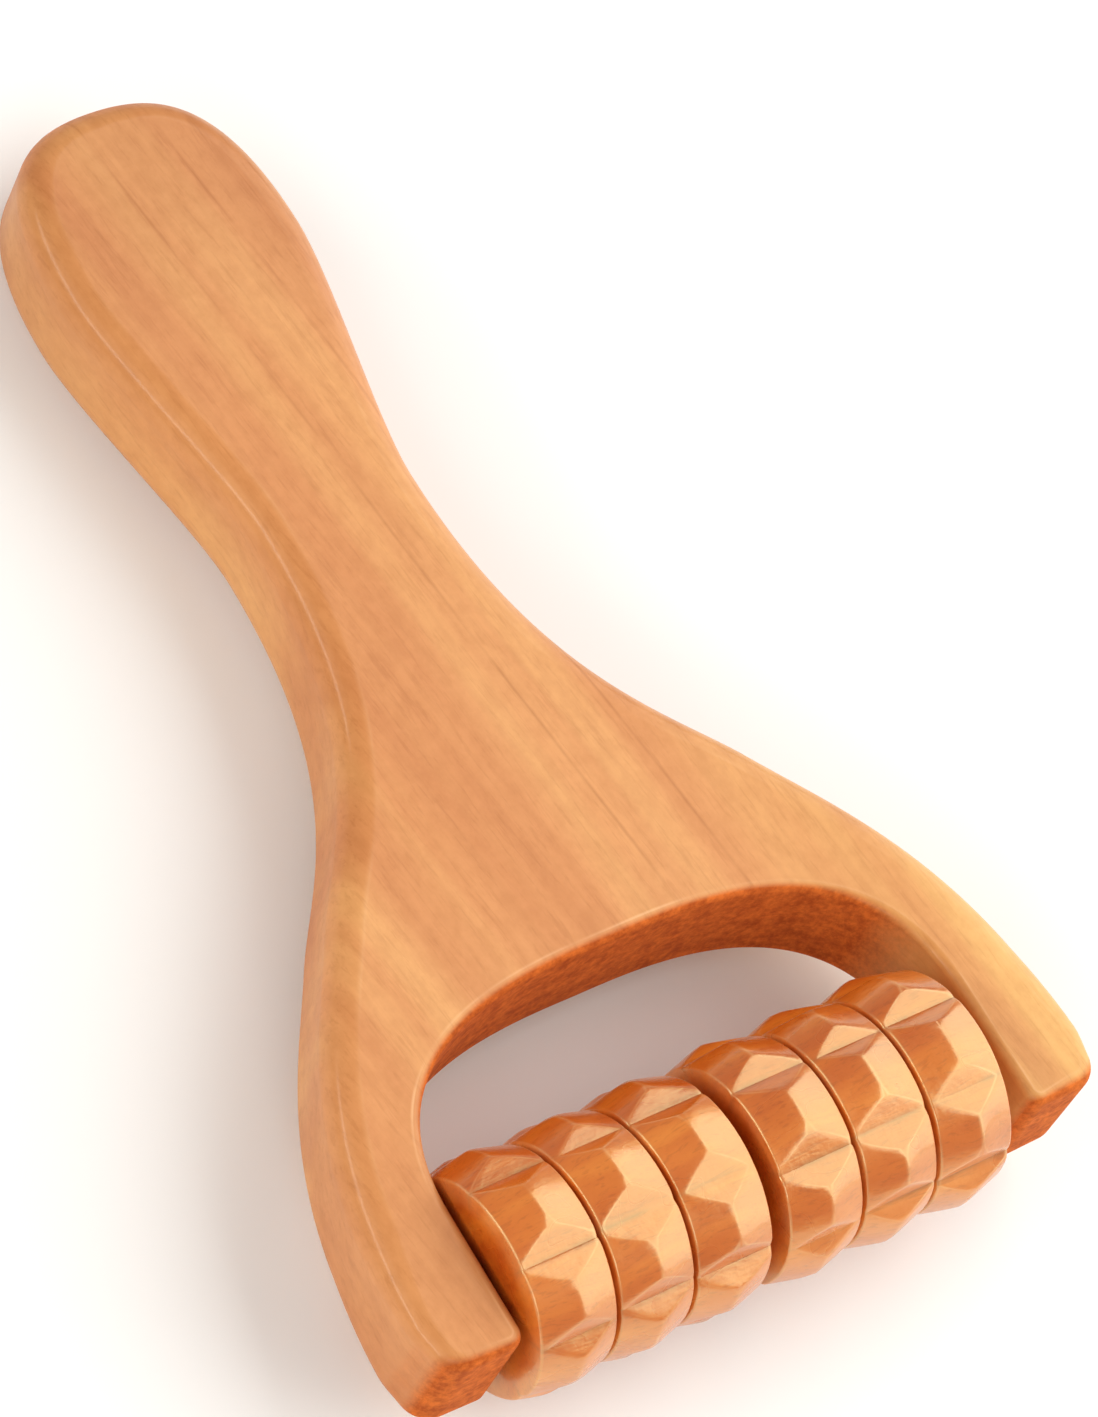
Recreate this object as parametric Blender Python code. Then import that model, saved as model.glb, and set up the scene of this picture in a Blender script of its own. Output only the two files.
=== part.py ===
"""Hand-held wooden massage roller: a flat paddle whose forked head carries two faceted rollers on one axle.

Metres, +Z up. X runs along the axle, Y from the rollers to the end of the handle. The paddle is drawn
flat in its own frame, with Y = 0 at the fork's tips, and an empty then lays it on the ground, where it
rests on its rollers and on the end of the handle.
"""

import math

import bmesh
import bpy
from mathutils import Matrix, Vector

MM = 0.001

# Paddle: one flat board, cut to an outline that is the same on both sides of its centre line. Each reach
# is how far a curve keeps its direction beyond the point that it starts from.
BOARD_LENGTH = 193.2 * MM
BOARD_THICKNESS = 18.8 * MM
HEAD_HALF_WIDTH, HEAD_Y = 56.7 * MM, 8.5 * MM
HEAD_REACH = 29.5 * MM
FLARE_HALF_WIDTH, FLARE_Y = 35.8 * MM, 64.1 * MM
FLARE_REACH = Vector((7.0 * MM, -10.8 * MM))
WAIST_HALF_WIDTH, WAIST_Y = 13.8 * MM, 122.4 * MM
WAIST_REACH_DOWN, WAIST_REACH_UP = 36.4 * MM, 9.5 * MM
BULB_HALF_WIDTH, BULB_Y = 20.25 * MM, 165.7 * MM
BULB_REACH_DOWN, BULB_REACH_UP = 10.3 * MM, 24.9 * MM
END_REACH = 9.2 * MM
TIP_HALF_WIDTH = 55.9 * MM
TIP_OUTER_RADIUS = 4.7 * MM
TIP_OUTER_END = -10.0
TIP_INNER_RADIUS = 2.4 * MM
OUTER_EDGE_RADIUS = 4.4 * MM
INNER_EDGE_RADIUS = 1.4 * MM
TIP_EDGE_RADIUS = 2.0 * MM
TIP_FADE = 22.0 * MM

# Fork opening: straight beside the rollers, then a dome.
OPENING_HALF_WIDTH = 42.9 * MM
OPENING_STRAIGHT = 20.5 * MM
OPENING_DEPTH = 46.5 * MM
OPENING_REACH_ACROSS, OPENING_REACH_UP = 12.0 * MM, 27.3 * MM

# Axle and its hole, which is drilled in through the right arm and ends blind in the left one.
AXLE_Y = 12.0 * MM
AXLE_RADIUS = 3.0 * MM
AXLE_END_X = 50.0 * MM
AXLE_CHAMFER = 0.5 * MM
PLUG_RADIUS = 4.0 * MM
PLUG_LENGTH = 4.5 * MM
PLUG_END_X = 56.3 * MM
FIT_GAP = 0.3 * MM

# Rollers: each is one turned piece with three gabled lobes, crossed by eight lengthwise V cuts.
LOBES = 3
LOBE_PITCH = 12.8 * MM
CREST_RADIUS = 17.5 * MM
SHOULDER_RADIUS = 15.9 * MM
GROOVE_RADIUS = 14.0 * MM
GROOVE_MOUTH = 0.7 * MM
GROOVE_FLOOR = 0.25 * MM
SHOULDER_ROUND = 0.4 * MM
BORE_RADIUS = AXLE_RADIUS + FIT_GAP
TEETH = 8
CREST_ARC = math.radians(20.0)
VALLEY_RADIUS = 15.8 * MM
ROLLERS = (
    # name, X of its left end, angle of one tooth above the horizontal at the front
    ("left_roller", -41.6 * MM, math.radians(97.5)),
    ("right_roller", -0.25 * MM, math.radians(87.3)),
)
WASHER_RADIUS = 6.0 * MM

WOOD = ("board_wood", (0.78, 0.43, 0.19), 0.32, 0.0)
ROLLER_WOOD = ("roller_wood", (0.80, 0.42, 0.15), 0.25, 0.0)
PLUG_WOOD = ("plug_wood", (0.70, 0.36, 0.15), 0.4, 0.0)
STEEL = ("axle_steel", (0.60, 0.60, 0.62), 0.3, 1.0)
NYLON = ("washer_nylon", (0.05, 0.045, 0.04), 0.5, 0.0)

# How finely round stretches are cut up.
OPENING_STEPS = 14
CORNER_STEPS = 5
CHEEK_STEPS = 10
FLANK_STEPS = 11
GRIP_STEPS = 8
END_STEPS = 12
STEPS_PER_TOOTH = 9
ROD_STEPS = 32
EDGE_STEPS = 3
SHARP_ANGLE = math.radians(30)


def clear_scene():
    for item in list(bpy.data.objects):
        bpy.data.objects.remove(item, do_unlink=True)


def material(name, color, roughness, metallic):
    made = bpy.data.materials.get(name)
    if made is None:
        made = bpy.data.materials.new(name)
        made.use_nodes = True
        shader = made.node_tree.nodes["Principled BSDF"]
        shader.inputs["Base Color"].default_value = (*color, 1.0)
        shader.inputs["Roughness"].default_value = roughness
        shader.inputs["Metallic"].default_value = metallic
    return made


def add_object(name, mesh, look, parent):
    made = bpy.data.objects.new(name, mesh)
    bpy.context.scene.collection.objects.link(made)
    made.parent = parent
    if look:
        mesh.materials.append(material(*look))
        mesh.shade_smooth()
        mesh.set_sharp_from_angle(angle=SHARP_ANGLE)
    return made


def mesh_from(shape, name):
    bmesh.ops.recalc_face_normals(shape, faces=shape.faces)
    mesh = bpy.data.meshes.new(name)
    shape.to_mesh(mesh)
    shape.free()
    return mesh


def bezier(start, start_handle, end_handle, end, steps):
    """Points on a cubic Bezier, its start left out."""
    points = []
    for step in range(1, steps + 1):
        t = step / steps
        s = 1 - t
        weights = (s**3, 3 * s * s * t, 3 * s * t * t, t**3)
        corners = (start, start_handle, end_handle, end)
        points.append(tuple(sum(w * c[k] for w, c in zip(weights, corners)) for k in (0, 1)))
    return points


def arc(centre, radius, start, end, steps):
    angles = [math.radians(start + (end - start) * step / steps) for step in range(steps + 1)]
    return [(centre[0] + radius * math.cos(a), centre[1] + radius * math.sin(a)) for a in angles]


def board_right_side():
    """The outline's right half, as (x, y, edge radius): the opening, the tip, then the side up to the end."""
    opening = bezier(
        (0, OPENING_DEPTH),
        (OPENING_REACH_ACROSS, OPENING_DEPTH),
        (OPENING_HALF_WIDTH, OPENING_STRAIGHT + OPENING_REACH_UP),
        (OPENING_HALF_WIDTH, OPENING_STRAIGHT),
        OPENING_STEPS,
    )
    inner_centre = (OPENING_HALF_WIDTH + TIP_INNER_RADIUS, TIP_INNER_RADIUS)
    inner_corner = arc(inner_centre, TIP_INNER_RADIUS, 180, 270, CORNER_STEPS)
    outer_centre = (TIP_HALF_WIDTH - TIP_OUTER_RADIUS, TIP_OUTER_RADIUS)
    outer_corner = arc(outer_centre, TIP_OUTER_RADIUS, -90, TIP_OUTER_END, CORNER_STEPS)
    head = Vector((HEAD_HALF_WIDTH, HEAD_Y))
    flare = Vector((FLARE_HALF_WIDTH, FLARE_Y))
    waist = Vector((WAIST_HALF_WIDTH, WAIST_Y))
    bulb = Vector((BULB_HALF_WIDTH, BULB_Y))
    end = Vector((0, BOARD_LENGTH))
    cheek = bezier(head, head + Vector((0, HEAD_REACH)), flare + FLARE_REACH, flare, CHEEK_STEPS)
    flank = bezier(flare, flare - FLARE_REACH, waist - Vector((0, WAIST_REACH_DOWN)), waist, FLANK_STEPS)
    below_bulb = bulb - Vector((0, BULB_REACH_DOWN))
    above_bulb = bulb + Vector((0, BULB_REACH_UP))
    grip = bezier(waist, waist + Vector((0, WAIST_REACH_UP)), below_bulb, bulb, GRIP_STEPS)
    crown = bezier(bulb, above_bulb, end + Vector((END_REACH, 0)), end, END_STEPS)
    inner = [(0, OPENING_DEPTH), *opening, *inner_corner]
    outer = [*outer_corner, tuple(head), *cheek, *flank, *grip, *crown]
    return [(x, y, INNER_EDGE_RADIUS) for x, y in inner] + [(x, y, outer_edge_radius(y)) for x, y in outer]


def outer_edge_radius(y):
    """The outer edge is rounded less at the tips than along the rest of the paddle."""
    share = min(y / TIP_FADE, 1.0)
    return TIP_EDGE_RADIUS + (OUTER_EDGE_RADIUS - TIP_EDGE_RADIUS) * share


def inward_at(outline, index):
    """The way into the board at one point of the outline, mitred so that both its edges move in by one."""
    here = Vector(outline[index][:2])
    before = (here - Vector(outline[index - 1][:2])).orthogonal().normalized()
    after = (Vector(outline[(index + 1) % len(outline)][:2]) - here).orthogonal().normalized()
    middle = (before + after).normalized()
    return middle / middle.dot(before)


def make_board(parent):
    """The outline stacked in rings: each edge turns over in a quarter circle of its own radius."""
    right = board_right_side()
    outline = right + [(-x, y, r) for x, y, r in reversed(right[1:-1])]
    turns = [math.pi / 2 * step / EDGE_STEPS for step in range(EDGE_STEPS + 1)]
    levels = [(-1, turn) for turn in reversed(turns)] + [(1, turn) for turn in turns]
    shape = bmesh.new()
    rings = []
    for side, turn in levels:
        ring = []
        for index, (x, y, radius) in enumerate(outline):
            inward = inward_at(outline, index)
            inset = radius * (1 - math.cos(turn))
            height = side * (BOARD_THICKNESS / 2 - radius + radius * math.sin(turn))
            ring.append(shape.verts.new((x + inward.x * inset, y + inward.y * inset, height)))
        rings.append(ring)
    for lower, upper in zip(rings, rings[1:]):
        for index in range(len(outline)):
            following = (index + 1) % len(outline)
            shape.faces.new((lower[index], lower[following], upper[following], upper[index]))
    flats = [shape.faces.new(rings[0]), shape.faces.new(rings[-1])]
    shape.normal_update()
    bmesh.ops.triangulate(shape, faces=flats)
    board = add_object("paddle_board", mesh_from(shape, "paddle_board"), WOOD, parent)
    drill(board, parent, "axle_hole", AXLE_RADIUS + FIT_GAP, -AXLE_END_X - FIT_GAP, HEAD_HALF_WIDTH)
    drill(board, parent, "plug_hole", PLUG_RADIUS + FIT_GAP, plug_start() - FIT_GAP, 2 * HEAD_HALF_WIDTH)


def drill(board, parent, name, radius, start, end):
    """A round cutter along the axle line, taken out of the board."""
    cutter = add_object(name, rod_mesh(name, radius, start, end), None, parent)
    cutter.location.y = AXLE_Y
    cutter.hide_render = True
    cutter.display_type = "WIRE"
    hole = board.modifiers.new(name, "BOOLEAN")
    hole.operation = "DIFFERENCE"
    hole.object = cutter


def rod_mesh(name, radius, start, end, chamfer=0.0):
    """A solid rod along X, with an optional chamfer at both ends."""
    profile = [(start, radius - chamfer), (end, radius - chamfer)]
    if chamfer:
        profile[1:1] = [(start + chamfer, radius), (end - chamfer, radius)]
    return turned_mesh(name, profile, None, ROD_STEPS)


def turned_mesh(name, profile, bore, steps, first_angle=0.0):
    """Revolves (x, radius) points round X. A bore leaves a hole of that radius, or the ends are flat."""
    if bore:
        profile = [(profile[0][0], bore), *profile, (profile[-1][0], bore)]
    shape = bmesh.new()
    rings = []
    for x, radius in profile:
        angles = [first_angle + math.tau * step / steps for step in range(steps)]
        rings.append([shape.verts.new((x, -radius * math.cos(a), radius * math.sin(a))) for a in angles])
    for one, two in zip(rings, rings[1:] + (rings[:1] if bore else [])):
        for step in range(steps):
            following = (step + 1) % steps
            shape.faces.new((one[step], one[following], two[following], two[step]))
    if not bore:
        shape.faces.new(rings[0])
        shape.faces.new(rings[-1])
    return mesh_from(shape, name)


def plug_start():
    return PLUG_END_X - PLUG_LENGTH


def make_axle(parent):
    axle = rod_mesh("axle_rod", AXLE_RADIUS, -AXLE_END_X, AXLE_END_X, AXLE_CHAMFER)
    add_object("axle_rod", axle, STEEL, parent).location.y = AXLE_Y


def make_plug(parent):
    """The plug that closes the drilled hole, flush with the right arm's outer side."""
    plug = rod_mesh("axle_hole_plug", PLUG_RADIUS, plug_start(), PLUG_END_X)
    add_object("axle_hole_plug", plug, PLUG_WOOD, parent).location.y = AXLE_Y


def roller_profile(left):
    """The turned outline of a roller: for each lobe a shoulder, a crest and a shoulder, then a groove."""
    points = []
    for lobe in range(LOBES):
        start = left + lobe * LOBE_PITCH
        end = start + LOBE_PITCH
        low = start + (GROOVE_MOUTH / 2 if lobe else 0)
        high = end - (GROOVE_MOUTH / 2 if lobe < LOBES - 1 else 0)
        if lobe:
            points.append((start + GROOVE_FLOOR / 2, GROOVE_RADIUS))
        points += [
            (low, SHOULDER_RADIUS - SHOULDER_ROUND),
            (low + SHOULDER_ROUND, SHOULDER_RADIUS),
            ((low + high) / 2, CREST_RADIUS),
            (high - SHOULDER_ROUND, SHOULDER_RADIUS),
            (high, SHOULDER_RADIUS - SHOULDER_ROUND),
        ]
        if lobe < LOBES - 1:
            points.append((end - GROOVE_FLOOR / 2, GROOVE_RADIUS))
    return points


def star_outline(phase):
    """The cross-section that the V cuts leave: a star whose points stand clear of the crests."""
    half_cut = math.tau / TEETH / 2 - CREST_ARC / 2
    corner = (CREST_RADIUS * math.cos(half_cut), CREST_RADIUS * math.sin(half_cut))
    run, rise = corner[0] - VALLEY_RADIUS, corner[1]
    half_pitch = math.tan(math.tau / TEETH / 2)
    reach = VALLEY_RADIUS * half_pitch / (rise - run * half_pitch)
    peak = math.hypot(VALLEY_RADIUS + run * reach, rise * reach)
    points = []
    for tooth in range(TEETH):
        angle = phase + math.tau * tooth / TEETH
        points.append((angle, peak))
        points.append((angle + math.tau / TEETH / 2, VALLEY_RADIUS))
    return points


def make_roller(parent, name, left, phase):
    steps = TEETH * STEPS_PER_TOOTH
    blank = turned_mesh(name, roller_profile(left), BORE_RADIUS, steps, phase + math.pi / steps)
    roller = add_object(name, blank, ROLLER_WOOD, parent)
    roller.location.y = AXLE_Y
    shape = bmesh.new()
    ends = (left - LOBE_PITCH, left + (LOBES + 1) * LOBE_PITCH)
    rings = [
        [shape.verts.new((x, -r * math.cos(a), r * math.sin(a))) for a, r in star_outline(phase)]
        for x in ends
    ]
    for ring in rings:
        shape.faces.new(ring)
    for step in range(2 * TEETH):
        following = (step + 1) % (2 * TEETH)
        shape.faces.new((rings[0][step], rings[0][following], rings[1][following], rings[1][step]))
    cutter = add_object(name + "_star", mesh_from(shape, name + "_star"), None, parent)
    cutter.location.y = AXLE_Y
    cutter.hide_render = True
    cutter.display_type = "WIRE"
    facets = roller.modifiers.new("facets", "BOOLEAN")
    facets.operation = "INTERSECT"
    facets.object = cutter


def make_washers(parent):
    """Thin rings on the axle in the three gaps, which keep wood from rubbing on wood."""
    edges = [-OPENING_HALF_WIDTH]
    for _, left, _ in ROLLERS:
        edges += [left, left + LOBES * LOBE_PITCH]
    edges.append(OPENING_HALF_WIDTH)
    for index, name in enumerate(("left_washer", "centre_spacer", "right_spacer")):
        start, end = edges[2 * index] + FIT_GAP, edges[2 * index + 1] - FIT_GAP
        ring = turned_mesh(name, [(start, WASHER_RADIUS), (end, WASHER_RADIUS)], BORE_RADIUS, ROD_STEPS)
        add_object(name, ring, NYLON, parent).location.y = AXLE_Y


def lay_down(frame):
    """Tilts the paddle until rollers and handle end both touch Z = 0, and centres its box on X = Y = 0."""
    run = BOARD_LENGTH - OUTER_EDGE_RADIUS - AXLE_Y
    drop = BOARD_THICKNESS / 2 - OUTER_EDGE_RADIUS
    lift = CREST_RADIUS - OUTER_EDGE_RADIUS
    tilt = math.asin(lift / math.hypot(run, drop)) - math.atan2(drop, run)
    turn = Matrix.Rotation(-tilt, 4, "X")
    axle = turn @ Vector((0, AXLE_Y, 0))
    heel = turn @ Vector((0, AXLE_Y + run, drop))
    front = axle.y - CREST_RADIUS
    back = heel.y + OUTER_EDGE_RADIUS
    frame.matrix_world = Matrix.Translation((0, -(front + back) / 2, CREST_RADIUS - axle.z)) @ turn


def main():
    clear_scene()
    frame = bpy.data.objects.new("laid_down", None)
    bpy.context.scene.collection.objects.link(frame)
    lay_down(frame)
    make_board(frame)
    make_axle(frame)
    make_plug(frame)
    make_washers(frame)
    for name, left, phase in ROLLERS:
        make_roller(frame, name, left, phase)


main()
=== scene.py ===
"""Looks for the hand-held massage roller: a lacquered wooden paddle and two faceted wooden rollers.

Every length is in metres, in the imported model's frame: X along the axle, Y towards the handle's end, Z up.
"""

import math

import bmesh
import bpy
from mathutils import Matrix, Vector


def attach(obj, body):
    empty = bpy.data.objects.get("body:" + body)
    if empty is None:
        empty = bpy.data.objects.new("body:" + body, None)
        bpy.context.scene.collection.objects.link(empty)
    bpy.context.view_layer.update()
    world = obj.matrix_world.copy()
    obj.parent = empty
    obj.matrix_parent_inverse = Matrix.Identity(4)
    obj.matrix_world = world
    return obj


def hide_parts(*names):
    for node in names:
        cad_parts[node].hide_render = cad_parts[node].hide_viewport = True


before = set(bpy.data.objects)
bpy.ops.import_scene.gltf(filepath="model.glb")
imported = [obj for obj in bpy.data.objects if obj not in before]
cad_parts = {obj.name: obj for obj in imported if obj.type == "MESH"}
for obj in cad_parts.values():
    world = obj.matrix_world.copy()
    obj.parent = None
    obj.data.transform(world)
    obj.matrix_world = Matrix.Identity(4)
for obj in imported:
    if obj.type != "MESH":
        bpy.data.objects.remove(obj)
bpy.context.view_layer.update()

MM = 0.001

# Paddle outline, the same on both sides of its centre line. Each reach is how far a curve keeps its
# direction beyond the point that it starts from.
BOARD_LENGTH = 193.2 * MM
BOARD_THICKNESS = 18.8 * MM
HEAD_HALF_WIDTH, HEAD_Y = 56.7 * MM, 8.5 * MM
HEAD_REACH = 29.5 * MM
FLARE_HALF_WIDTH, FLARE_Y = 35.8 * MM, 64.1 * MM
FLARE_REACH = Vector((7.0 * MM, -10.8 * MM))
WAIST_HALF_WIDTH, WAIST_Y = 13.8 * MM, 122.4 * MM
WAIST_REACH_DOWN, WAIST_REACH_UP = 36.4 * MM, 9.5 * MM
BULB_HALF_WIDTH, BULB_Y = 20.25 * MM, 165.7 * MM
BULB_REACH_DOWN, BULB_REACH_UP = 10.3 * MM, 24.9 * MM
END_REACH = 9.2 * MM
TIP_HALF_WIDTH = 55.9 * MM
TIP_OUTER_RADIUS = 4.7 * MM
TIP_OUTER_END = -10.0
TIP_REACH = Vector((0.3 * MM, 1.6 * MM))
TIP_INNER_RADIUS = 2.4 * MM
OUTER_EDGE_RADIUS = 4.4 * MM
INNER_EDGE_RADIUS = 1.4 * MM
TIP_EDGE_RADIUS = 2.0 * MM
TIP_FADE = 22.0 * MM
OPENING_HALF_WIDTH = 42.9 * MM
OPENING_STRAIGHT = 20.5 * MM
OPENING_DEPTH = 46.5 * MM
OPENING_REACH_ACROSS, OPENING_REACH_UP = 12.0 * MM, 27.3 * MM

# Axle holes.
AXLE_Y = 12.0 * MM
AXLE_HOLE_RADIUS = 3.3 * MM
AXLE_HOLE_START = -50.3 * MM
PLUG_HOLE_RADIUS = 4.3 * MM
PLUG_HOLE_START = 51.5 * MM

# Rollers.
LOBES = 3
LOBE_PITCH = 12.8 * MM
CREST_RADIUS = 17.5 * MM
SHOULDER_RADIUS = 15.9 * MM
GROOVE_RADIUS = 14.0 * MM
GROOVE_MOUTH = 0.7 * MM
GROOVE_FLOOR = 0.25 * MM
RIM_ROUND = 0.4 * MM
BORE_RADIUS = 3.3 * MM
BORE_CHAMFER = 0.5 * MM
TEETH = 8
TOOTH_PITCH = math.tau / TEETH
HALF_PITCH = TOOTH_PITCH / 2
CREST_ARC = math.radians(20.0)
VALLEY_RADIUS = 15.8 * MM
ROLLERS = (
    ("left_roller", -41.6 * MM, math.radians(97.5)),
    ("right_roller", -0.25 * MM, math.radians(87.3)),
)

# How finely the paddle's round stretches are cut up.
OPENING_STEPS = 60
CORNER_STEPS = 14
LIP_STEPS = 4
CHEEK_STEPS = 40
FLANK_STEPS = 44
GRIP_STEPS = 32
END_STEPS = 48
EDGE_STEPS = 10
DRILL_SIDES = 64
BOARD_SHARP_ANGLE = math.radians(40)

# The paddle's edges: a narrow pale line of painted highlight, full strength round the opening and weaker on
# the outer edge.
ARRIS_WIDTH = 0.35 * MM
OUTER_GLINT = 0.25

# Wood grain: its slant across the paddle and the two dark growth lines, given as distances across the grain.
GRAIN_SLANT = 0.115
GROWTH_LINES = (6.65 * MM, 17.6 * MM)
GROWTH_LINE_WIDTH = 0.42 * MM

# Where the paddle's colour starts to turn paler, towards the right arm, as painted light, and darker, towards
# the handle's end, as painted shade.
PAINTED_LIGHT_X, PAINTED_LIGHT_WIDTH = 20.0 * MM, 32.0 * MM
PAINTED_SHADE_Y, PAINTED_SHADE_WIDTH = 45.0 * MM, 35.0 * MM

# How finely the rollers are cut up. Across a lobe, as shares of the way from a facet's edge out to the rim
# and in to the crest. Round it, as angles in degrees from a tooth's middle. On the end faces, as radii.
OUTER_SHARES = (1.0, 0.75, 0.5, 0.3, 0.16, 0.08, 0.03, 0.0)
INNER_SHARES = (0.97, 0.92, 0.82, 0.6, 0.35, 0.16, 0.07, 0.03)
TOOTH_STATIONS = (0.0, 5.0, 10.0, 11.0, 12.5, 14.5, 17.0, 19.5, 21.5)
FACE_RADII = (BORE_RADIUS + BORE_CHAMFER, 8.0 * MM, 12.5 * MM)
RIM_STEPS = 4
ROLLER_SHARP_ANGLE = math.radians(24)
MERGE_DISTANCE = 0.002 * MM

# How far the rollers' gables and facets are softened, and how far the cuts stray in angle and in depth.
CREST_SOFT = 0.5 * MM
CREST_SINK = 0.3 * CREST_SOFT
FACET_SOFT = 0.32 * MM
CUT_WANDER = math.radians(2.4)
CUT_DEPTH_WANDER = 0.28 * MM

# The rollers' painted highlights along their rims and facet edges, and the painted shade along their valleys.
RIM_GLINT = 0.6
GLINT_WIDTH = 0.35 * MM
VALLEY_SHADE_ANGLE = math.radians(2.2)

# Where in the wood's grain each roller lies, so that the two don't look alike.
GRAIN_SHIFTS = {"left_roller": 1.7, "right_roller": 5.3}

# Studio.
FLOOR_HALF_SIZE = 6.0
WORLD_STRENGTH = 0.29

# Camera, at the photograph's viewing angle.
CAMERA_POSITION = (-0.4286, -0.2505, 0.7806)
CAMERA_TURN = (28.40, -18.42, -31.26)
CAMERA_LENS = 165.5


def link(made):
    bpy.context.scene.collection.objects.link(made)
    return made


def laid_down():
    """The matrix that lays the flat-drawn paddle on its rollers and its handle's end, as packed."""
    run = BOARD_LENGTH - OUTER_EDGE_RADIUS - AXLE_Y
    drop = BOARD_THICKNESS / 2 - OUTER_EDGE_RADIUS
    lift = CREST_RADIUS - OUTER_EDGE_RADIUS
    tilt = math.asin(lift / math.hypot(run, drop)) - math.atan2(drop, run)
    turn = Matrix.Rotation(-tilt, 4, "X")
    axle = turn @ Vector((0, AXLE_Y, 0))
    heel = turn @ Vector((0, AXLE_Y + run, drop))
    front = axle.y - CREST_RADIUS
    back = heel.y + OUTER_EDGE_RADIUS
    return Matrix.Translation((0, -(front + back) / 2, CREST_RADIUS - axle.z)) @ turn


LAID_DOWN = laid_down()


# ---------------------------------------------------------------- materials


class Nodes:
    """Shorthand for building one material's node tree."""

    def __init__(self, name):
        self.material = bpy.data.materials.new(name)
        self.material.use_nodes = True
        self.tree = self.material.node_tree
        self.shader = self.tree.nodes["Principled BSDF"]

    def add(self, kind, inputs=None, **settings):
        node = self.tree.nodes.new(kind)
        for key, value in settings.items():
            setattr(node, key, value)
        for key, value in (inputs or {}).items():
            self.feed(node.inputs[key], value)
        return node

    def feed(self, socket, value):
        if hasattr(value, "outputs"):
            value = value.outputs[0]
        if isinstance(value, bpy.types.NodeSocket):
            self.tree.links.new(value, socket)
        else:
            socket.default_value = value

    def math(self, operation, a, b=0.0, clamp=False):
        node = self.add("ShaderNodeMath", {0: a, 1: b}, operation=operation)
        node.use_clamp = clamp
        return node

    def stretched(self, source, scale, offset=(0.0, 0.0, 0.0)):
        return self.add("ShaderNodeMapping", {"Vector": source, "Scale": scale, "Location": offset})

    def noise(self, source, scale, detail=2.0, roughness=0.5):
        inputs = {"Vector": source, "Scale": scale, "Detail": detail, "Roughness": roughness}
        return self.add("ShaderNodeTexNoise", inputs)

    def ramp(self, factor, *stops):
        node = self.add("ShaderNodeValToRGB", {0: factor})
        elements = node.color_ramp.elements
        for _ in range(len(stops) - 2):
            elements.new(0.5)
        for element, (place, color) in zip(elements, stops):
            element.position = place
            if not hasattr(color, "__len__"):
                color = (color, color, color)
            element.color = (*color, 1.0)
        return node

    def mix(self, factor, a, b, blend="MIX"):
        node = self.add("ShaderNodeMix", data_type="RGBA", blend_type=blend)
        for index, value in ((0, factor), (6, a), (7, b)):
            if isinstance(value, tuple) and len(value) == 3:
                value = (*value, 1.0)
            self.feed(node.inputs[index], value)
        return node.outputs[2]


def linear(red, green, blue):
    """A colour given as 0 to 255 screen values, all above 10, in the linear values that shaders take."""
    return tuple(((c / 255 + 0.055) / 1.055) ** 2.4 for c in (red, green, blue))


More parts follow.
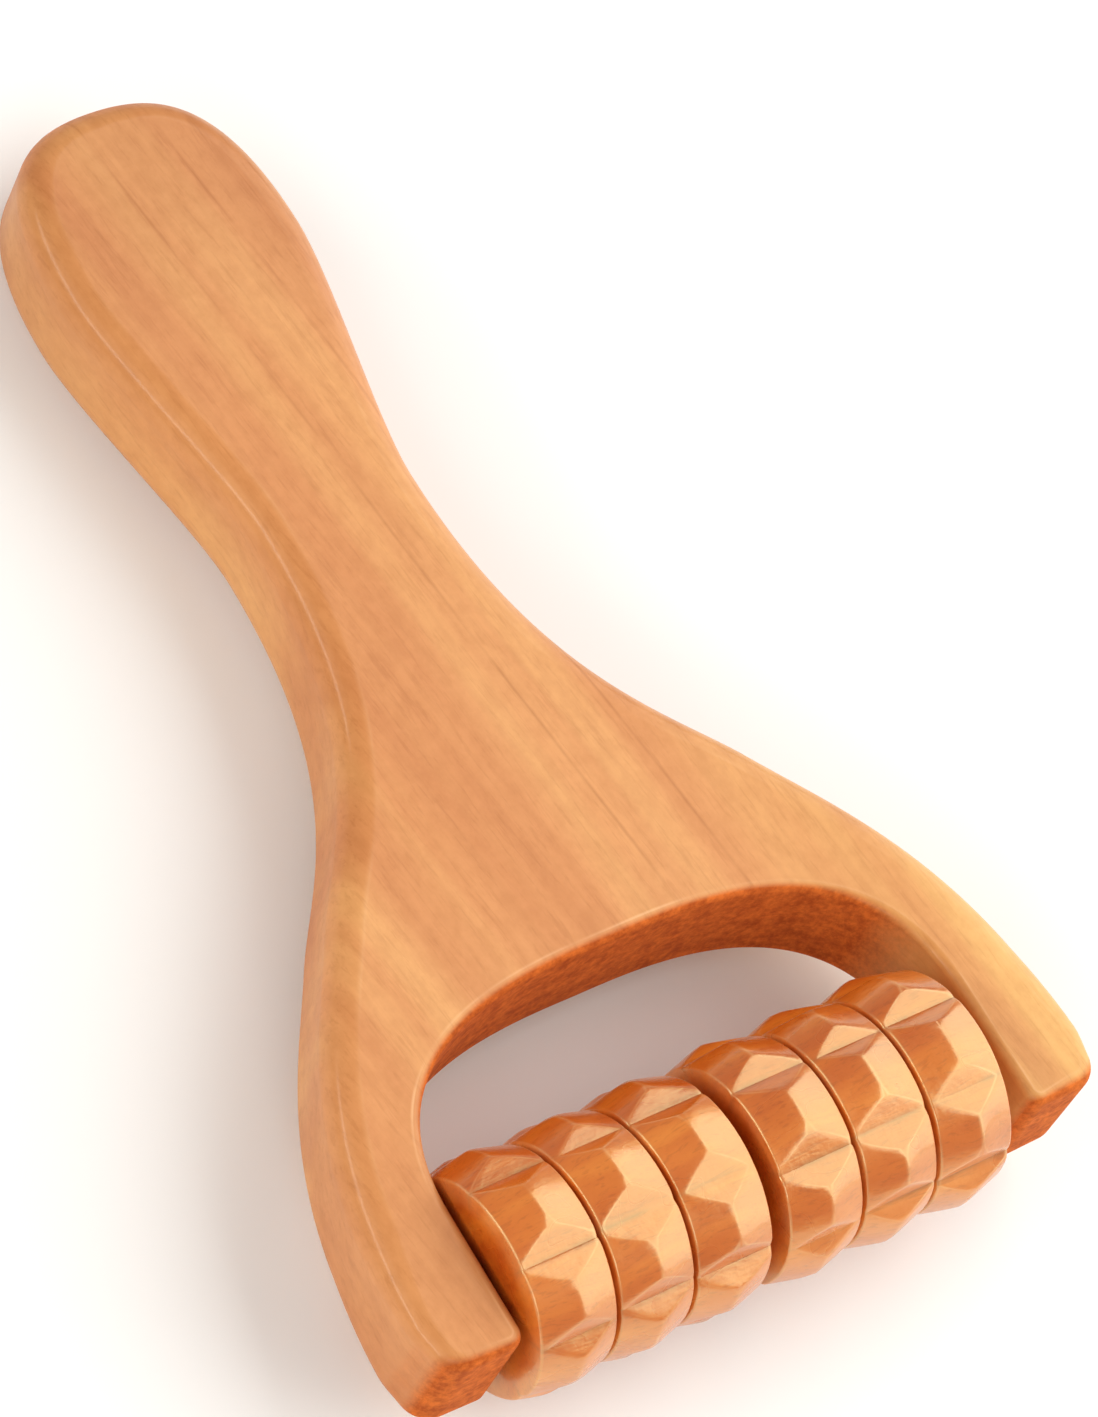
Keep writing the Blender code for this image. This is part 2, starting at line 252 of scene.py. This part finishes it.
def board_material():
    """Lacquered hardwood, its grain along the handle, darker and redder where the wood is cut across: end
    grain, deepened with painted shade.
    """
    n = Nodes("honey_wood_lacquered")
    place = n.add("ShaderNodeTexCoord").outputs["Object"]
    split = n.add("ShaderNodeSeparateXYZ", {0: place})
    across = n.math("ADD", split.outputs["X"], n.math("MULTIPLY", split.outputs["Y"], GRAIN_SLANT))
    grain = n.add("ShaderNodeCombineXYZ", {0: across, 1: split.outputs["Y"], 2: split.outputs["Z"]})
    warp = n.noise(n.stretched(grain, (60, 14, 60)), 1.0, 2.0)
    bent = n.add("ShaderNodeVectorMath", {0: warp, 1: (0.5, 0.5, 0.5)}, operation="SUBTRACT")
    small = n.add("ShaderNodeVectorMath", {0: bent, "Scale": 0.0018}, operation="SCALE")
    wavy = n.add("ShaderNodeVectorMath", {0: grain, 1: small}, operation="ADD")

    bands = n.noise(n.stretched(wavy, (115, 2.6, 60), (3.1, 0, 0)), 1.0, 2.0, 0.5)
    tone = n.ramp(
        bands,
        (0.32, linear(202, 134, 83)),
        (0.46, linear(209, 143, 90)),
        (0.58, linear(215, 153, 97)),
        (0.72, linear(220, 161, 103)),
    )
    broad = n.noise(n.stretched(grain, (26, 13, 26), (0.7, 2.3, 0)), 1.0, 2.0)
    warmth = n.ramp(broad, (0.36, (0.95, 0.88, 0.82)), (0.64, (1.03, 1.04, 1.03)))
    color = n.mix(1.0, tone.outputs[0], warmth.outputs[0], "MULTIPLY")
    # Painted light: paler towards the right arm. Painted shade: darker towards the handle's end.
    past_painted_light = n.math("SUBTRACT", split.outputs["X"], PAINTED_LIGHT_X)
    painted_light = n.math("DIVIDE", past_painted_light, PAINTED_LIGHT_WIDTH, clamp=True)
    color = n.mix(1.0, color, n.mix(painted_light, (1.0, 1.0, 1.0), (1.12, 1.32, 1.24)), "MULTIPLY")
    past_painted_shade = n.math("SUBTRACT", split.outputs["Y"], PAINTED_SHADE_Y)
    painted_shade = n.math("DIVIDE", past_painted_shade, PAINTED_SHADE_WIDTH, clamp=True)
    color = n.mix(1.0, color, n.mix(painted_shade, (1.0, 1.0, 1.0), (0.88, 0.83, 0.82)), "MULTIPLY")

    streaks = n.noise(n.stretched(wavy, (520, 7, 300)), 1.0, 3.0, 0.55)
    streak_mask = n.ramp(streaks, (0.36, (0.88, 0.84, 0.80)), (0.60, 1.0))
    color = n.mix(0.45, color, streak_mask.outputs[0], "MULTIPLY")
    pores = n.noise(n.stretched(wavy, (1500, 130, 1100)), 1.0, 3.0, 0.7)
    pore_mask = n.ramp(pores, (0.34, (0.76, 0.66, 0.58)), (0.47, 1.0))
    color = n.mix(0.32, color, pore_mask.outputs[0], "MULTIPLY")
    mottle = n.noise(n.stretched(place, (420, 300, 420)), 1.0, 3.0, 0.65)
    mottle_mask = n.ramp(mottle, (0.36, (0.94, 0.90, 0.86)), (0.62, (1.03, 1.03, 1.03)))
    color = n.mix(0.8, color, mottle_mask.outputs[0], "MULTIPLY")
    wavy_across = n.add("ShaderNodeSeparateXYZ", {0: wavy}).outputs["X"]
    fading = n.ramp(n.noise(n.stretched(place, (9, 60, 9)), 1.0, 3.0), (0.40, 0.08), (0.62, 1.0))
    for line in GROWTH_LINES:
        away = n.math("ABSOLUTE", n.math("SUBTRACT", wavy_across, line))
        near = n.math("SUBTRACT", 1.0, n.math("DIVIDE", away, GROWTH_LINE_WIDTH), clamp=True)
        strength = n.math("MULTIPLY", near, n.math("MULTIPLY", fading, 0.42))
        color = n.mix(strength, color, linear(158, 88, 42))

    facing = n.add("ShaderNodeNewGeometry").outputs["Normal"]
    spaces = {"vector_type": "NORMAL", "convert_from": "WORLD", "convert_to": "OBJECT"}
    to_object = n.add("ShaderNodeVectorTransform", {0: facing}, **spaces)
    lengthwise = n.add("ShaderNodeSeparateXYZ", {0: to_object}).outputs["Y"]
    front_cut = n.ramp(n.math("MULTIPLY", lengthwise, -1.0), (0.15, 0.0), (0.6, 1.0))
    back_cut = n.ramp(lengthwise, (0.45, 0.0), (0.95, 0.55))
    end_grain = n.math("ADD", front_cut, back_cut, clamp=True)
    specks = n.noise(n.stretched(place, (850, 1300, 850)), 1.0, 3.0, 0.7)
    layers = n.noise(n.stretched(wavy, (260, 20, 420)), 1.0, 2.0)
    end_shade = n.math("ADD", n.math("MULTIPLY", specks, 0.6), n.math("MULTIPLY", layers, 0.4))
    end_grain_shade_tone = n.ramp(end_shade, (0.38, linear(168, 72, 23)), (0.62, linear(217, 110, 42)))
    # Faces across the grain turn darker and redder: end grain, deepened with painted shade in the opening and
    # on the tips' fronts.
    color = n.mix(n.math("MULTIPLY", end_grain, 0.94), color, end_grain_shade_tone.outputs[0])
    # Painted highlight: a pale, patchy line along the paddle's edges.
    glint = n.add("ShaderNodeAttribute", attribute_name="painted_edge_glint").outputs["Fac"]
    patchy = n.ramp(n.noise(n.stretched(place, (55, 55, 55)), 1.0, 3.0), (0.44, 0.12), (0.68, 1.0))
    color = n.mix(n.math("MULTIPLY", glint, n.math("MULTIPLY", patchy, 0.42)), color, linear(252, 208, 158))

    n.feed(n.shader.inputs["Base Color"], color)
    smooth = n.ramp(n.noise(n.stretched(place, (90, 30, 90)), 1.0, 3.0), (0.3, 0.44), (0.7, 0.54))
    n.feed(n.shader.inputs["Roughness"], n.mix(end_grain, smooth.outputs[0], (0.85, 0.85, 0.85)))
    n.feed(n.shader.inputs["Coat Weight"], n.math("MULTIPLY", n.math("SUBTRACT", 1.0, end_grain), 0.32))
    n.shader.inputs["Coat Roughness"].default_value = 0.16
    n.shader.inputs["Coat IOR"].default_value = 1.5
    n.shader.inputs["Specular IOR Level"].default_value = 0.2
    n.shader.inputs["Specular Tint"].default_value = (1.0, 0.78, 0.48, 1.0)
    relief = n.math("ADD", n.math("MULTIPLY", pores, 0.35), n.math("MULTIPLY", streaks, 0.65))
    bump = n.add("ShaderNodeBump", {"Strength": 0.22, "Distance": 0.00025, "Height": relief})
    n.feed(n.shader.inputs["Normal"], bump)
    return n.material


def roller_material(name, shift):
    """Lacquered hardwood turned along its grain: rings seen edge-on as streaks along the axle."""
    n = Nodes(name)
    place = n.add("ShaderNodeTexCoord").outputs["Object"]
    warp = n.noise(n.stretched(place, (45, 110, 110), (shift, 0, 0)), 1.0, 2.0)
    bent = n.add("ShaderNodeVectorMath", {0: warp, 1: (0.5, 0.5, 0.5)}, operation="SUBTRACT")
    small = n.add("ShaderNodeVectorMath", {0: bent, "Scale": 0.004}, operation="SCALE")
    wavy = n.add("ShaderNodeVectorMath", {0: place, 1: small}, operation="ADD")
    rings = n.noise(n.stretched(wavy, (9, 260, 130), (shift, shift * 2.0, 0)), 1.0, 3.0, 0.55)
    tone = n.ramp(
        rings,
        (0.30, linear(193, 82, 20)),
        (0.46, linear(204, 95, 25)),
        (0.60, linear(213, 108, 31)),
        (0.74, linear(223, 123, 41)),
    )
    pores = n.noise(n.stretched(wavy, (260, 1900, 1900)), 1.0, 2.0, 0.7)
    pore_mask = n.ramp(pores, (0.34, (0.78, 0.66, 0.52)), (0.46, 1.0))
    color = n.mix(0.7, tone.outputs[0], pore_mask.outputs[0], "MULTIPLY")
    blotch = n.noise(n.stretched(place, (70, 90, 90), (shift * 3.0, 0, 1)), 1.0, 2.0)
    warmth = n.ramp(blotch, (0.36, (0.93, 0.85, 0.76)), (0.64, (1.04, 1.05, 1.05)))
    color = n.mix(1.0, color, warmth.outputs[0], "MULTIPLY")
    patchy = n.ramp(n.noise(n.stretched(place, (160, 160, 160)), 1.0, 2.0), (0.38, 0.2), (0.62, 1.0))
    # Painted shade: darker along the bottom of each valley between the teeth.
    valley_shade = n.add("ShaderNodeAttribute", attribute_name="painted_valley_shade").outputs["Fac"]
    color = n.mix(n.math("MULTIPLY", valley_shade, n.math("MULTIPLY", patchy, 0.75)), color, linear(150, 66, 18))
    # Painted highlight: pale lines along the rims and the facets' edges.
    glint = n.add("ShaderNodeAttribute", attribute_name="painted_edge_glint").outputs["Fac"]
    color = n.mix(n.math("MULTIPLY", glint, n.math("MULTIPLY", patchy, 0.32)), color, linear(250, 206, 146))
    n.feed(n.shader.inputs["Base Color"], color)
    rough = n.ramp(blotch, (0.3, 0.24), (0.7, 0.34))
    n.feed(n.shader.inputs["Roughness"], rough)
    n.shader.inputs["Coat Weight"].default_value = 0.45
    n.shader.inputs["Coat Roughness"].default_value = 0.08
    n.shader.inputs["Coat IOR"].default_value = 1.5
    n.shader.inputs["IOR"].default_value = 1.8
    n.shader.inputs["Specular IOR Level"].default_value = 1.0
    n.shader.inputs["Specular Tint"].default_value = (0.9, 1.0, 0.5, 1.0)
    ripple = n.noise(n.stretched(place, (330, 330, 330)), 1.0, 3.0, 0.6)
    relief = n.math("ADD", n.math("MULTIPLY", pores, 0.2), n.math("MULTIPLY", ripple, 0.8))
    bump = n.add("ShaderNodeBump", {"Strength": 0.32, "Distance": 0.0004, "Height": relief})
    n.feed(n.shader.inputs["Normal"], bump)
    return n.material


def plug_material():
    """A dowel's end: darker end grain with faint rings."""
    n = Nodes("plug_end_grain")
    place = n.add("ShaderNodeTexCoord").outputs["Object"]
    grain = n.noise(n.stretched(place, (300, 900, 900)), 1.0, 3.0, 0.65)
    tone = n.ramp(grain, (0.35, linear(158, 84, 40)), (0.65, linear(205, 126, 68)))
    n.feed(n.shader.inputs["Base Color"], tone)
    n.shader.inputs["Roughness"].default_value = 0.42
    n.shader.inputs["Coat Weight"].default_value = 0.4
    bump = n.add("ShaderNodeBump", {"Strength": 0.3, "Distance": 0.0003, "Height": grain})
    n.feed(n.shader.inputs["Normal"], bump)
    return n.material


def steel_material():
    """Drawn steel rod, with fine scratches along it."""
    n = Nodes("drawn_steel")
    place = n.add("ShaderNodeTexCoord").outputs["Object"]
    drawn = n.noise(n.stretched(place, (40, 3500, 3500)), 1.0, 2.0)
    tone = n.ramp(drawn, (0.3, (0.42, 0.42, 0.43)), (0.7, (0.62, 0.62, 0.63)))
    n.feed(n.shader.inputs["Base Color"], tone)
    n.shader.inputs["Metallic"].default_value = 1.0
    n.feed(n.shader.inputs["Roughness"], n.ramp(drawn, (0.3, 0.24), (0.7, 0.42)))
    return n.material


def nylon_material():
    """Dark moulded nylon, faintly mottled."""
    n = Nodes("dark_nylon")
    place = n.add("ShaderNodeTexCoord").outputs["Object"]
    mottle = n.noise(n.stretched(place, (900, 900, 900)), 1.0, 3.0)
    tone = n.ramp(mottle, (0.3, (0.018, 0.014, 0.012)), (0.7, (0.04, 0.032, 0.028)))
    n.feed(n.shader.inputs["Base Color"], tone)
    n.feed(n.shader.inputs["Roughness"], n.ramp(mottle, (0.3, 0.45), (0.7, 0.62)))
    bump = n.add("ShaderNodeBump", {"Strength": 0.2, "Distance": 0.0002, "Height": mottle})
    n.feed(n.shader.inputs["Normal"], bump)
    return n.material


# ---------------------------------------------------------------- paddle


def bezier(start, start_handle, end_handle, end, steps):
    """Points on a cubic Bezier, its start left out."""
    points = []
    for step in range(1, steps + 1):
        t = step / steps
        s = 1 - t
        weights = (s**3, 3 * s * s * t, 3 * s * t * t, t**3)
        corners = (start, start_handle, end_handle, end)
        points.append(tuple(sum(w * c[k] for w, c in zip(weights, corners)) for k in (0, 1)))
    return points


def arc(centre, radius, start, end, steps):
    """Points on a circle from one angle to another, in degrees, both ends kept."""
    angles = [math.radians(start + (end - start) * step / steps) for step in range(steps + 1)]
    return [(centre[0] + radius * math.cos(a), centre[1] + radius * math.sin(a)) for a in angles]


def board_right_side():
    """The outline's right half, as (x, y, edge radius): the opening, the tip, then the side up to the end."""
    opening = bezier(
        (0, OPENING_DEPTH),
        (OPENING_REACH_ACROSS, OPENING_DEPTH),
        (OPENING_HALF_WIDTH, OPENING_STRAIGHT + OPENING_REACH_UP),
        (OPENING_HALF_WIDTH, OPENING_STRAIGHT),
        OPENING_STEPS,
    )
    inner_centre = (OPENING_HALF_WIDTH + TIP_INNER_RADIUS, TIP_INNER_RADIUS)
    inner_corner = arc(inner_centre, TIP_INNER_RADIUS, 180, 270, CORNER_STEPS)
    outer_centre = (TIP_HALF_WIDTH - TIP_OUTER_RADIUS, TIP_OUTER_RADIUS)
    outer_corner = arc(outer_centre, TIP_OUTER_RADIUS, -90, TIP_OUTER_END, CORNER_STEPS)
    tip = Vector(outer_corner[-1])
    head = Vector((HEAD_HALF_WIDTH, HEAD_Y))
    flare = Vector((FLARE_HALF_WIDTH, FLARE_Y))
    waist = Vector((WAIST_HALF_WIDTH, WAIST_Y))
    bulb = Vector((BULB_HALF_WIDTH, BULB_Y))
    end = Vector((0, BOARD_LENGTH))
    lip = bezier(tip, tip + TIP_REACH, head - Vector((0, TIP_REACH.y)), head, LIP_STEPS)
    cheek = bezier(head, head + Vector((0, HEAD_REACH)), flare + FLARE_REACH, flare, CHEEK_STEPS)
    flank = bezier(flare, flare - FLARE_REACH, waist - Vector((0, WAIST_REACH_DOWN)), waist, FLANK_STEPS)
    below_bulb = bulb - Vector((0, BULB_REACH_DOWN))
    above_bulb = bulb + Vector((0, BULB_REACH_UP))
    grip = bezier(waist, waist + Vector((0, WAIST_REACH_UP)), below_bulb, bulb, GRIP_STEPS)
    crown = bezier(bulb, above_bulb, end + Vector((END_REACH, 0)), end, END_STEPS)
    inner = [(0, OPENING_DEPTH), *opening, *inner_corner]
    outer = [*outer_corner, *lip, *cheek, *flank, *grip, *crown]
    return [(x, y, INNER_EDGE_RADIUS) for x, y in inner] + [(x, y, outer_edge_radius(y)) for x, y in outer]


def outer_edge_radius(y):
    """The outer edge is rounded less at the tips than along the rest of the paddle."""
    share = min(y / TIP_FADE, 1.0)
    return TIP_EDGE_RADIUS + (OUTER_EDGE_RADIUS - TIP_EDGE_RADIUS) * share


def inward_at(outline, index):
    """The way into the board at one point of the outline, mitred so that both its edges move in by one."""
    here = Vector(outline[index][:2])
    before = (here - Vector(outline[index - 1][:2])).orthogonal().normalized()
    after = (Vector(outline[(index + 1) % len(outline)][:2]) - here).orthogonal().normalized()
    middle = (before + after).normalized()
    return middle / middle.dot(before)


def make_board():
    """The paddle: rings of its outline stacked up its rounded edge, capped flat and drilled for the axle."""
    right = board_right_side()
    outline = right + [(-x, y, r) for x, y, r in reversed(right[1:-1])]
    turns = [math.pi / 2 * step / EDGE_STEPS for step in range(EDGE_STEPS + 1)]
    # The last two rings hold the painted highlight line where the rounded edge meets the flat.
    half = [(turn, 0.0, 0.0) for turn in turns[:-1]] + [(turns[-1], 0.0, 1.0), (turns[-1], ARRIS_WIDTH, 0.0)]
    levels = [(-1, *level) for level in reversed(half)] + [(1, *level) for level in half]
    inward = [inward_at(outline, index) for index in range(len(outline))]
    shape = bmesh.new()
    # How strongly each vertex takes the painted highlight line.
    glint = shape.verts.layers.float.new("painted_edge_glint")
    rings = []
    for side, turn, further, glint_share in levels:
        ring = []
        for (x, y, radius), move in zip(outline, inward):
            inset = radius * (1 - math.cos(turn)) + further
            height = side * (BOARD_THICKNESS / 2 - radius + radius * math.sin(turn))
            vert = shape.verts.new((x + move.x * inset, y + move.y * inset, height))
            vert[glint] = glint_share if radius <= INNER_EDGE_RADIUS else glint_share * OUTER_GLINT
            ring.append(vert)
        rings.append(ring)
    for lower, upper in zip(rings, rings[1:]):
        for index in range(len(outline)):
            following = (index + 1) % len(outline)
            shape.faces.new((lower[index], lower[following], upper[following], upper[index]))
    flats = [shape.faces.new(rings[0]), shape.faces.new(rings[-1])]
    shape.normal_update()
    bmesh.ops.triangulate(shape, faces=flats)
    bmesh.ops.recalc_face_normals(shape, faces=shape.faces)
    mesh = bpy.data.meshes.new("paddle_board_finish")
    shape.to_mesh(mesh)
    shape.free()
    board = link(bpy.data.objects.new("paddle_board_finish", mesh))
    holes = (
        ("axle_hole", AXLE_HOLE_RADIUS, AXLE_HOLE_START, HEAD_HALF_WIDTH),
        ("plug_hole", PLUG_HOLE_RADIUS, PLUG_HOLE_START, 2 * HEAD_HALF_WIDTH),
    )
    for name, radius, start, end in holes:
        drill(board, name, radius, start, end)
    mesh = board.data
    mesh.transform(LAID_DOWN)
    mesh.shade_smooth()
    mesh.set_sharp_from_angle(angle=BOARD_SHARP_ANGLE)
    even = board.modifiers.new("even_normals", "WEIGHTED_NORMAL")
    even.keep_sharp = True
    mesh.materials.append(board_material())
    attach(board, "frame")
    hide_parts("paddle_board")


def drill(board, name, radius, start, end):
    """Takes a round hole along the axle line out of the board, and applies it."""
    shape = bmesh.new()
    turn = Matrix.Translation(((start + end) / 2, AXLE_Y, 0)) @ Matrix.Rotation(math.pi / 2, 4, "Y")
    bmesh.ops.create_cone(
        shape,
        cap_ends=True,
        segments=DRILL_SIDES,
        radius1=radius,
        radius2=radius,
        depth=end - start,
        matrix=turn,
    )
    mesh = bpy.data.meshes.new(name)
    shape.to_mesh(mesh)
    shape.free()
    cutter = link(bpy.data.objects.new(name, mesh))
    cut = board.modifiers.new(name, "BOOLEAN")
    cut.operation = "DIFFERENCE"
    cut.solver = "EXACT"
    cut.object = cutter
    graph = bpy.context.evaluated_depsgraph_get()
    result = bpy.data.meshes.new_from_object(board.evaluated_get(graph))
    board.modifiers.remove(cut)
    board.data = result
    bpy.data.objects.remove(cutter, do_unlink=True)


# ---------------------------------------------------------------- rollers


def cut_radius(angle):
    """How far out the V cuts leave the wood at this angle from a tooth's middle."""
    folded = abs((angle + HALF_PITCH) % TOOTH_PITCH - HALF_PITCH)
    edge = CREST_ARC / 2
    outer = Vector((math.cos(edge), math.sin(edge))) * CREST_RADIUS
    inner = Vector((math.cos(HALF_PITCH), math.sin(HALF_PITCH))) * VALLEY_RADIUS
    along = inner - outer
    normal = Vector((along.y, -along.x)).normalized()
    return normal.dot(outer) / (normal.x * math.cos(folded) + normal.y * math.sin(folded))


def lobe_radius(offset, half):
    """The turned gable at this distance from the lobe's middle."""
    slope = (CREST_RADIUS - SHOULDER_RADIUS) / (half - RIM_ROUND)
    soft = math.sqrt(offset * offset + CREST_SOFT * CREST_SOFT) - CREST_SOFT
    return CREST_RADIUS - slope * (CREST_SINK + soft)


def soft_min(a, b, softness):
    """The smaller of two lengths, with the corner between them rounded off."""
    blend = max(softness - abs(a - b), 0) / softness
    return min(a, b) - blend * blend * softness / 4


def hand_depth(lobe, angle):
    """How much deeper or shallower one V cut is across one lobe."""
    valley = math.floor(angle / TOOTH_PITCH)
    return CUT_DEPTH_WANDER * math.sin(2.3 * valley + 1.9 * lobe)


def lobe_rings(lobe, low, high, angles):
    """Rings of (x, radius, painted highlight share) at each angle across one lobe, with ring lines along the
    facets' edges.
    """
    middle, half = (low + high) / 2, (high - low) / 2
    reach = half - RIM_ROUND
    slope = (CREST_RADIUS - SHOULDER_RADIUS) / reach
    side = []
    for outside, shares in ((True, OUTER_SHARES), (False, INNER_SHARES)):
        for share in shares:
            ring = []
            for angle in angles:
                cut = cut_radius(angle) + hand_depth(lobe, angle)
                edge = min(max((CREST_RADIUS - cut) / slope, 0.0), reach)
                offset = edge + (reach - edge) * share if outside else edge * share
                # Painted highlight, strongest on a facet's edge.
                glint_share = max(1.0 - abs(offset - edge) / GLINT_WIDTH, 0.0)
                ring.append((offset, soft_min(lobe_radius(offset, half), cut, FACET_SOFT), glint_share))
            side.append(ring)
    crest = []
    for angle in angles:
        cut = cut_radius(angle) + hand_depth(lobe, angle)
        crest.append((0.0, soft_min(lobe_radius(0.0, half), cut, FACET_SOFT), 0.0))
    rim = []
    for step in range(RIM_STEPS, 0, -1):
        turn = math.pi / 2 * step / RIM_STEPS
        out = RIM_ROUND * math.sin(turn)
        down = RIM_ROUND * (1 - math.cos(turn))
        rim.append([(reach + out, radius - down, RIM_GLINT) for _, radius, _ in side[0]])
    left = rim + side
    return (
        [[(middle - offset, radius, glint_share) for offset, radius, glint_share in ring] for ring in left]
        + [[(middle + offset, radius, glint_share) for offset, radius, glint_share in crest]]
        + [[(middle + offset, radius, glint_share) for offset, radius, glint_share in ring] for ring in reversed(left)]
    )


def tooth_angles():
    """Angles from a tooth's middle, closer together beside each valley."""
    half = [math.radians(angle) for angle in TOOTH_STATIONS]
    one = [-HALF_PITCH] + [-a for a in reversed(half[1:])] + half
    return [tooth * TOOTH_PITCH + a for tooth in range(TEETH) for a in one]


def valley_share(angle):
    """1 in the bottom of a valley between two teeth, falling to 0 beside it."""
    folded = abs((angle + HALF_PITCH) % TOOTH_PITCH - HALF_PITCH)
    return max(1.0 - (HALF_PITCH - folded) / VALLEY_SHADE_ANGLE, 0.0)


def hand_cut(along, angle):
    """How far each lobe's cuts stray from even spacing, as an angle."""
    lobe = math.floor(along / LOBE_PITCH)
    return CUT_WANDER * math.sin(3 * angle + 2.1 * lobe) * math.cos(angle - 1.3 * lobe)


def make_roller(name, left, phase):
    """One roller: rings down an end face, over each lobe and groove, and back through the bore."""
    angles = tooth_angles()
    right = left + LOBES * LOBE_PITCH

    def round_ring(x, radius):
        return [(x, radius, 0.0) for _ in angles]

    rings = [round_ring(left, radius) for radius in FACE_RADII]
    for lobe in range(LOBES):
        start = left + lobe * LOBE_PITCH
        end = start + LOBE_PITCH
        if lobe:
            rings.append(round_ring(start + GROOVE_FLOOR / 2, GROOVE_RADIUS))
        low = start + (GROOVE_MOUTH / 2 if lobe else 0)
        high = end - (GROOVE_MOUTH / 2 if lobe < LOBES - 1 else 0)
        rings += lobe_rings(lobe, low, high, angles)
        if lobe < LOBES - 1:
            rings.append(round_ring(end - GROOVE_FLOOR / 2, GROOVE_RADIUS))
    rings += [round_ring(right, radius) for radius in reversed(FACE_RADII)]
    rings += [round_ring(x, BORE_RADIUS) for x in (right - BORE_CHAMFER, left + BORE_CHAMFER)]
    shape = bmesh.new()
    # Painted shade along the bottom of each valley.
    valley_shade = shape.verts.layers.float.new("painted_valley_shade")
    # Painted highlight along the rims and facet edges.
    glint = shape.verts.layers.float.new("painted_edge_glint")
    made = []
    for ring in rings:
        row = []
        for (x, radius, glint_share), angle in zip(ring, angles):
            turned = angle + phase + hand_cut(x - left, angle)
            vert = shape.verts.new((x, AXLE_Y - radius * math.cos(turned), radius * math.sin(turned)))
            vert[valley_shade] = valley_share(angle) if radius > GROOVE_RADIUS else 0.0
            vert[glint] = glint_share
            row.append(vert)
        made.append(row)
    count = len(angles)
    for one, two in zip(made, made[1:] + made[:1]):
        for step in range(count):
            following = (step + 1) % count
            shape.faces.new((one[step], one[following], two[following], two[step]))
    bmesh.ops.remove_doubles(shape, verts=shape.verts, dist=MERGE_DISTANCE)
    bmesh.ops.recalc_face_normals(shape, faces=shape.faces)
    mesh = bpy.data.meshes.new(name + "_finish")
    shape.to_mesh(mesh)
    shape.free()
    mesh.transform(LAID_DOWN)
    mesh.shade_smooth()
    mesh.set_sharp_from_angle(angle=ROLLER_SHARP_ANGLE)
    roller = link(bpy.data.objects.new(name + "_finish", mesh))
    mesh.materials.append(roller_material(name + "_wood", GRAIN_SHIFTS[name]))
    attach(roller, name)
    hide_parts(name)


def repaint(node, material):
    """A CAD node that keeps its shape and gets a finer material."""
    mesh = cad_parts[node].data
    mesh.materials.clear()
    mesh.materials.append(material)


# ---------------------------------------------------------------- studio


def make_floor():
    """A plain pale floor that runs out of every view."""
    mesh = bpy.data.meshes.new("studio_floor")
    size = FLOOR_HALF_SIZE
    corners = ((-size, -size, 0), (size, -size, 0), (size, size, 0), (-size, size, 0))
    mesh.from_pydata(corners, [], [(0, 1, 2, 3)])
    floor = link(bpy.data.objects.new("studio_floor", mesh))
    n = Nodes("pale_floor")
    n.shader.inputs["Base Color"].default_value = (0.92, 0.92, 0.92, 1.0)
    n.shader.inputs["Roughness"].default_value = 0.9
    n.shader.inputs["Specular IOR Level"].default_value = 0.1
    mesh.materials.append(n.material)


def area_light(name, position, target, size, power, color=(1.0, 1.0, 1.0)):
    """A rectangular light at one place, turned to face another."""
    light = bpy.data.lights.new(name, "AREA")
    light.shape = "RECTANGLE"
    light.size, light.size_y = size
    light.energy = power
    light.color = color
    made = link(bpy.data.objects.new(name, light))
    made.location = position
    made.rotation_euler = (Vector(target) - Vector(position)).to_track_quat("-Z", "Y").to_euler()


def make_studio():
    """Soft light: a large wall of light on the right, a box and a strip on the left, a small one in front."""
    world = bpy.data.worlds.new("studio")
    bpy.context.scene.world = world
    world.use_nodes = True
    world.node_tree.nodes["Background"].inputs["Color"].default_value = (1.0, 1.0, 1.0, 1.0)
    world.node_tree.nodes["Background"].inputs["Strength"].default_value = WORLD_STRENGTH
    area_light("right_wall", (0.70, -0.18, 0.56), (0.01, -0.03, 0), (1.8, 1.3), 17.0, (1.0, 0.98, 0.93))
    area_light("left_softbox", (-0.78, 0.1, 0.62), (0, 0, 0), (1.4, 0.6), 2.6, (1.0, 0.93, 0.82))
    area_light("left_strip", (-0.79, 0.29, 0.45), (0, 0, 0), (1.1, 0.13), 3.4, (1.0, 0.95, 0.86))
    area_light("front_spark", (-0.45, -0.59, 0.48), (0, 0, 0), (0.4, 0.3), 1.4)
    bpy.context.scene.view_settings.view_transform = "Standard"
    bpy.context.scene.view_settings.look = "None"


def make_camera():
    """The camera, far off with a long lens, at the photograph's viewing angle."""
    camera = bpy.data.cameras.new("camera")
    camera.sensor_fit = "VERTICAL"
    camera.sensor_height = 36.0
    camera.lens = CAMERA_LENS
    camera.clip_end = 20.0
    made = link(bpy.data.objects.new("camera", camera))
    made.location = CAMERA_POSITION
    made.rotation_euler = [math.radians(a) for a in CAMERA_TURN]
    bpy.context.scene.camera = made


make_board()
for roller_name, roller_left, roller_phase in ROLLERS:
    make_roller(roller_name, roller_left, roller_phase)
repaint("axle_rod", steel_material())
repaint("axle_hole_plug", plug_material())
nylon = nylon_material()
for spacer in ("left_washer", "centre_spacer", "right_spacer"):
    repaint(spacer, nylon)
make_floor()
make_studio()
make_camera()
